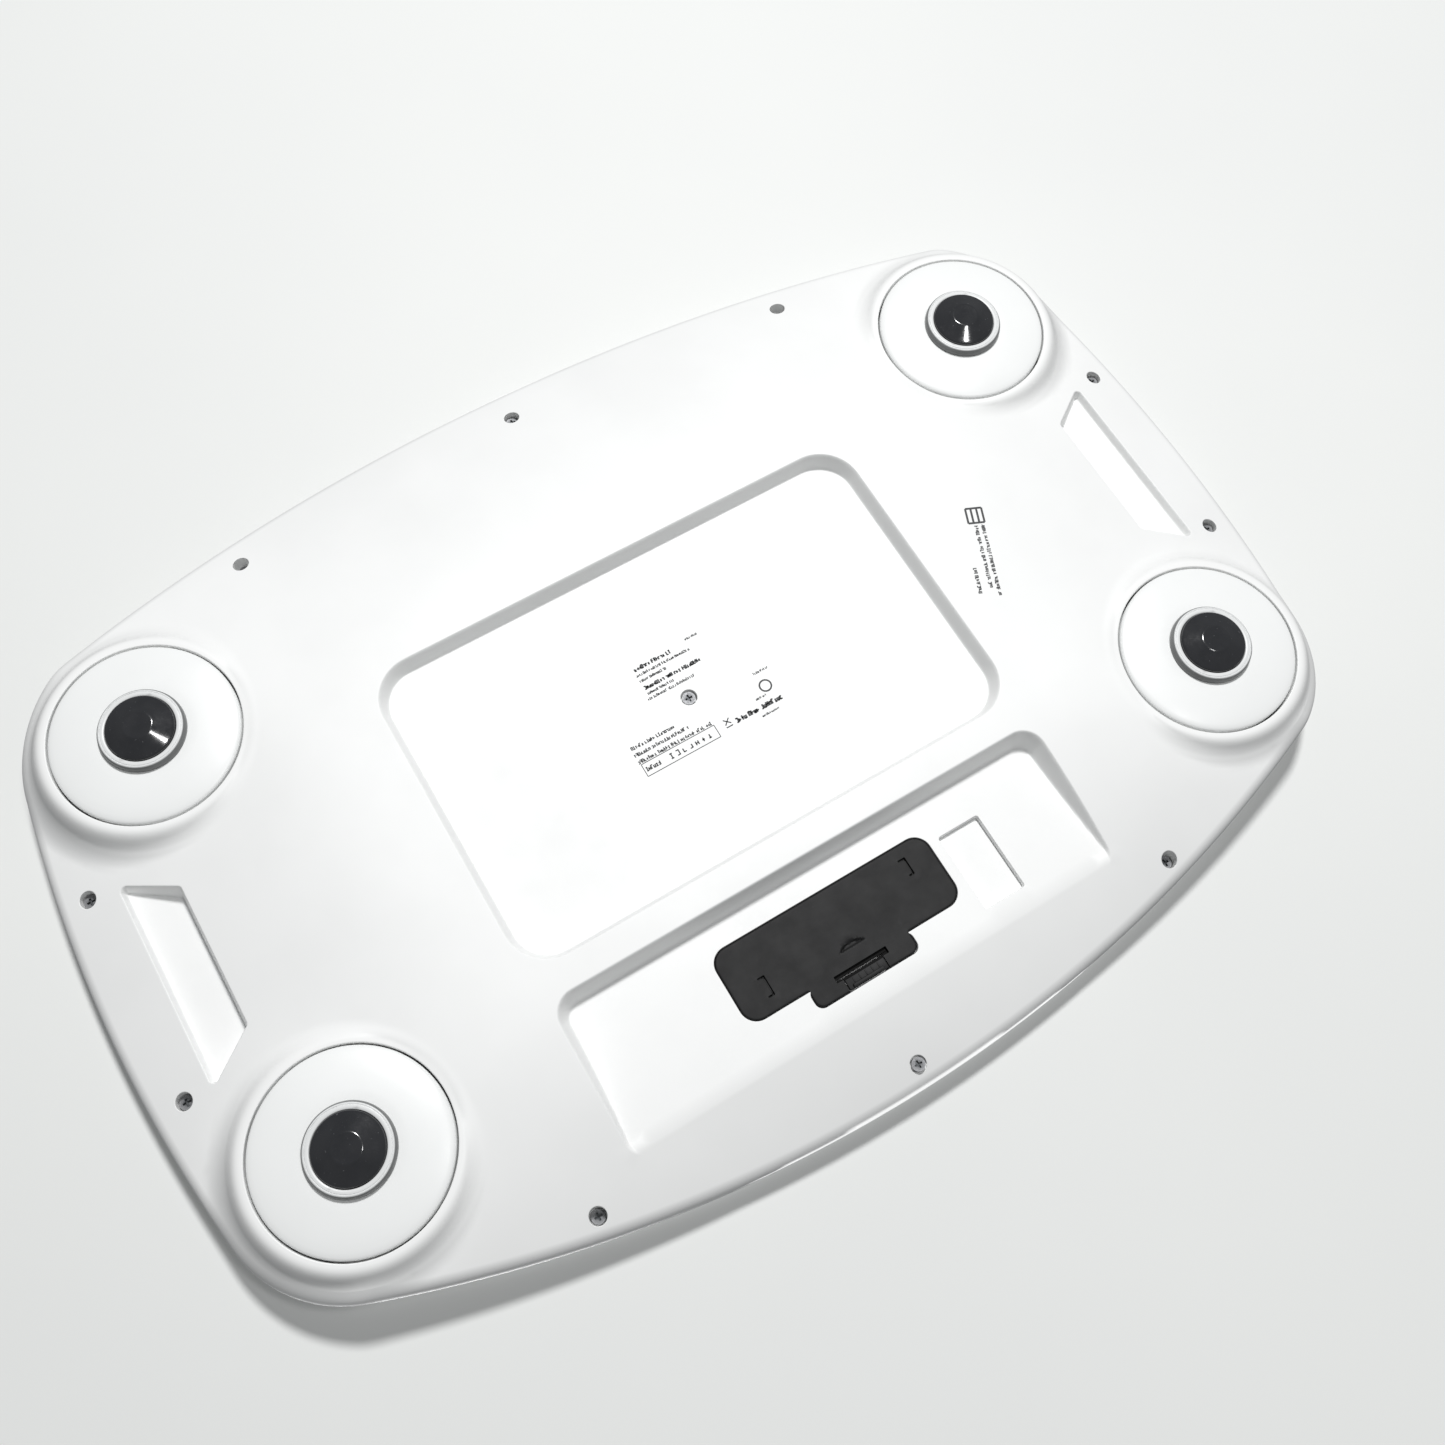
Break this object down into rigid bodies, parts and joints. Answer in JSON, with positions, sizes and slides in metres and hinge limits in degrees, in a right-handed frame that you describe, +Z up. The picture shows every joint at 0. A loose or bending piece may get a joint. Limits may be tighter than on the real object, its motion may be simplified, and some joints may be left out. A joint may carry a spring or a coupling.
{
  "type": "digital bathroom scale",
  "caption": "Wide white bathroom scale with bowed sides, a ribbed grey standing mat, a small display with keys, floating load-cell feet with black pads, hand grips and a dark battery door.",
  "frame": {"origin": "on the floor, midway between the four feet, with the scale standing on them", "axes": "+Z up, +X to the user's right, +Y away from the user towards the display"},
  "size_m": [0.58, 0.398, 0.0524],
  "materials": {
    "white_shell": "semi-gloss moulded ABS",
    "mat_rubber": "matt ribbed",
    "plated_steel": "zinc plated sheet",
    "print_ink": "pad-printed ink",
    "dark_plastic": "fine spark-eroded texture",
    "display_glass": "polished lens",
    "lcd_glass": "polished",
    "inner_plastic": "moulded",
    "board_green": "solder mask",
    "chip_black": "moulded",
    "screw_zinc": "bright zinc",
    "key_grey": "satin",
    "contact_nickel": "nickel plated",
    "lead_pvc": "extruded",
    "cell_jacket": "printed film",
    "collar_grey": "satin",
    "pad_rubber": "smooth, slightly glossy"
  },
  "bodies": {
    "housing": {"platform_cover": "white_shell", "platform_mat": "mat_rubber", "platform_plate": "plated_steel", "base_shell": "white_shell", "rating_print": "print_ink", "display_bezel": "dark_plastic", "display_window": "display_glass", "lcd_panel": "lcd_glass", "lcd_holder": "inner_plastic", "main_board": "board_green", "board_chips": "chip_black", "board_screws": "screw_zinc", "key_switches": "chip_black", "battery_tray": "inner_plastic", "battery_cell_1": "cell_jacket", "battery_cell_2": "cell_jacket", "battery_cell_3": "cell_jacket", "battery_cell_4": "cell_jacket", "contact_springs": "contact_nickel", "contact_plates": "contact_nickel", "case_screws": "screw_zinc", "centre_screw": "screw_zinc", "cell_screws": "screw_zinc", "battery_leads": "lead_pvc", "cell_leads_front_left": "lead_pvc", "cell_leads_front_right": "lead_pvc", "cell_leads_rear_left": "lead_pvc", "cell_leads_rear_right": "lead_pvc", "load_cell_front_left": "plated_steel", "load_cell_front_right": "plated_steel", "load_cell_rear_left": "plated_steel", "load_cell_rear_right": "plated_steel", "cell_cradle_front_left": "inner_plastic", "cell_cradle_front_right": "inner_plastic", "cell_cradle_rear_left": "inner_plastic", "cell_cradle_rear_right": "inner_plastic"},
    "foot_front_left": {"foot_disc_front_left": "white_shell", "foot_collar_front_left": "collar_grey", "foot_pad_front_left": "pad_rubber"},
    "foot_front_right": {"foot_disc_front_right": "white_shell", "foot_collar_front_right": "collar_grey", "foot_pad_front_right": "pad_rubber"},
    "foot_rear_left": {"foot_disc_rear_left": "white_shell", "foot_collar_rear_left": "collar_grey", "foot_pad_rear_left": "pad_rubber"},
    "foot_rear_right": {"foot_disc_rear_right": "white_shell", "foot_collar_rear_right": "collar_grey", "foot_pad_rear_right": "pad_rubber"},
    "battery_door": {"battery_door": "dark_plastic"},
    "door_latch": {"door_latch": "dark_plastic"},
    "power_key": {"power_key": "key_grey"},
    "unit_key": {"unit_key": "key_grey"},
    "hold_key": {"hold_key": "key_grey"}
  },
  "joints": [
    {"name": "foot_front_left_travel", "type": "slide", "parent": "housing", "child": "foot_front_left", "axis": [0, 0, -1], "range_m": [0, 0.0006]},
    {"name": "foot_front_right_travel", "type": "slide", "parent": "housing", "child": "foot_front_right", "axis": [0, 0, -1], "range_m": [0, 0.0006]},
    {"name": "foot_rear_left_travel", "type": "slide", "parent": "housing", "child": "foot_rear_left", "axis": [0, 0, -1], "range_m": [0, 0.0006]},
    {"name": "foot_rear_right_travel", "type": "slide", "parent": "housing", "child": "foot_rear_right", "axis": [0, 0, -1], "range_m": [0, 0.0006]},
    {"name": "battery_door_hinge", "type": "hinge", "parent": "housing", "child": "battery_door", "pos_m": [0, -0.10645, 0.0222], "axis": [1, 0, 0], "range_deg": [0, 90]},
    {"name": "door_latch_flex", "type": "slide", "parent": "battery_door", "child": "door_latch", "axis": [0, 1, 0], "range_m": [0, 0.0015], "stiffness_N_per_m": 1500},
    {"name": "power_key_press", "type": "slide", "parent": "housing", "child": "power_key", "axis": [0, 0, -1], "range_m": [0, 0.0008], "stiffness_N_per_m": 500},
    {"name": "unit_key_press", "type": "slide", "parent": "housing", "child": "unit_key", "axis": [0, 0, -1], "range_m": [0, 0.0008], "stiffness_N_per_m": 500},
    {"name": "hold_key_press", "type": "slide", "parent": "housing", "child": "hold_key", "axis": [0, 0, -1], "range_m": [0, 0.0008], "stiffness_N_per_m": 500}
  ]
}
